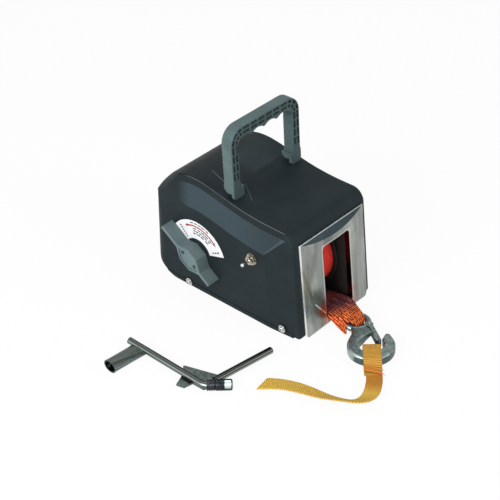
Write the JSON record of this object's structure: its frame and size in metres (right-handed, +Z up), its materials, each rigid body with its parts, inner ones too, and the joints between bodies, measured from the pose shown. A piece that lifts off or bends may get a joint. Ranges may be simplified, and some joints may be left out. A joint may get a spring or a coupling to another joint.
{
  "type": "electric winch",
  "caption": "Portable electric winch: moulded housing with a folding carry handle, clutch knob and toggle switch, webbing through a slotted plate to a latch hook, and a hand crank.",
  "frame": {"origin": "centre of the four mounting bolt holes, on the underside of the base pan", "axes": "+X the way the strap pulls, +Z up, -Y the side with the clutch knob and the switch"},
  "size_m": [0.4484, 0.3748, 0.293],
  "materials": {
    "housing_plastic": "moulded charcoal plastic, satin gloss",
    "black_steel": "black painted steel",
    "bright_screw": "zinc plated",
    "plate_steel": "bright rolled steel",
    "shaft_steel": "turned steel",
    "gear_steel": "cut steel",
    "bush_brass": "turned brass",
    "red_webbing": "woven polyester webbing",
    "motor_paint": "dark painted steel can",
    "magnet_iron": "sintered magnet",
    "grey_plastic": "grey green moulded plastic",
    "decal_film": "printed film with plain marks",
    "switch_metal": "nickel plated brass",
    "hook_zinc": "zinc plated forging",
    "yellow_webbing": "woven polyester webbing",
    "crank_steel": "polished plated steel"
  },
  "bodies": {
    "base": {"housing_shell": "housing_plastic", "base_pan": "black_steel", "side_screws": "bright_screw", "side_washers": "bright_screw", "fairlead_plate": "plate_steel", "gear_frame": "black_steel", "motor_frame": "black_steel", "tie_rods": "shaft_steel", "frame_pillars": "shaft_steel", "carrier_plate": "black_steel", "frame_screws": "bright_screw", "pillar_screws": "bright_screw", "gear_shafts": "shaft_steel", "drum_bushes": "bush_brass", "strap_lead": "red_webbing", "motor_can": "motor_paint", "motor_magnets": "magnet_iron", "motor_cap": "motor_paint", "motor_screws": "bright_screw", "motor_cradle": "black_steel", "fork_guide": "shaft_steel", "clutch_decal": "decal_film", "switch_body": "switch_metal", "switch_nut": "switch_metal", "handle_pins": "shaft_steel"},
    "drum": {"drum_gear": "gear_steel", "drum_shaft": "shaft_steel", "drum_spool": "black_steel", "strap_core": "red_webbing", "strap_roll": "red_webbing"},
    "middle_wheel": {"middle_gear": "gear_steel"},
    "fork": {"shift_fork": "gear_steel"},
    "clutch_wheel": {"clutch_gear": "gear_steel"},
    "rotor": {"motor_rotor": "gear_steel", "crank_socket": "shaft_steel"},
    "knob": {"clutch_knob": "grey_plastic", "knob_screws": "bright_screw", "clutch_spindle": "shaft_steel"},
    "toggle": {"switch_lever": "switch_metal"},
    "handle": {"handle": "grey_plastic"},
    "hook": {"hook": "hook_zinc", "latch_pin": "shaft_steel", "pull_loop": "yellow_webbing", "pull_tail": "yellow_webbing"},
    "latch": {"hook_latch": "hook_zinc"},
    "crank": {"crank_arm": "crank_steel", "crank_sleeve": "crank_steel", "crank_drive_rod": "crank_steel", "crank_gusset": "crank_steel", "crank_grip": "crank_steel"}
  },
  "joints": [
    {"name": "motor_spin", "type": "hinge", "parent": "base", "child": "rotor", "pos_m": [-0.08801, 0, 0.08941], "axis": [0, 1, 0], "continuous": true},
    {"name": "drum_spin", "type": "hinge", "parent": "base", "child": "drum", "pos_m": [0.059, 0, 0.077], "axis": [0, 1, 0], "continuous": true},
    {"name": "middle_gear_spin", "type": "hinge", "parent": "base", "child": "middle_wheel", "pos_m": [-0.01046, 0, 0.11248], "axis": [0, 1, 0], "continuous": true},
    {"name": "clutch_shift", "type": "slide", "parent": "base", "child": "fork", "axis": [0, -1, 0], "range_m": [0, 0.0095]},
    {"name": "clutch_gear_spin", "type": "hinge", "parent": "fork", "child": "clutch_wheel", "pos_m": [-0.05996, 0, 0.11197], "axis": [0, 1, 0], "continuous": true},
    {"name": "clutch_knob_turn", "type": "hinge", "parent": "base", "child": "knob", "pos_m": [-0.05, 0, 0.0685], "axis": [0, 1, 0], "range_deg": [0, 105]},
    {"name": "switch_toggle", "type": "hinge", "parent": "base", "child": "toggle", "pos_m": [0.0585, -0.084, 0.108], "axis": [1, 0, 0], "range_deg": [-14, 14], "stiffness_Nm_per_rad": 0.05},
    {"name": "handle_fold", "type": "hinge", "parent": "base", "child": "handle", "pos_m": [0.0125, 0, 0.202], "axis": [0, -1, 0], "range_deg": [0, 84]},
    {"name": "hook_swing", "type": "hinge", "parent": "base", "child": "hook", "pos_m": [0.183, -0.001, 0.0102], "axis": [0, 0, 1], "range_deg": [-5, 40]},
    {"name": "hook_latch_open", "type": "hinge", "parent": "hook", "child": "latch", "pos_m": [0.20345, 0.00162, 0.0102], "axis": [0, 0, 1], "range_deg": [-25, 0], "stiffness_Nm_per_rad": 0.02, "springref_deg": 17.19},
    {"name": "crank_lift", "type": "slide", "parent": "base", "child": "crank", "axis": [0, 0, 1], "range_m": [0, 0.2]}
  ],
  "couplings": [
    {"joint": "clutch_gear_spin", "follows": "motor_spin", "ratio": -0.2},
    {"joint": "middle_gear_spin", "follows": "motor_spin", "ratio": 0.044444},
    {"joint": "drum_spin", "follows": "motor_spin", "ratio": -0.0080808},
    {"joint": "clutch_knob_turn", "follows": "clutch_shift", "rad_per_m": 192.9}
  ]
}
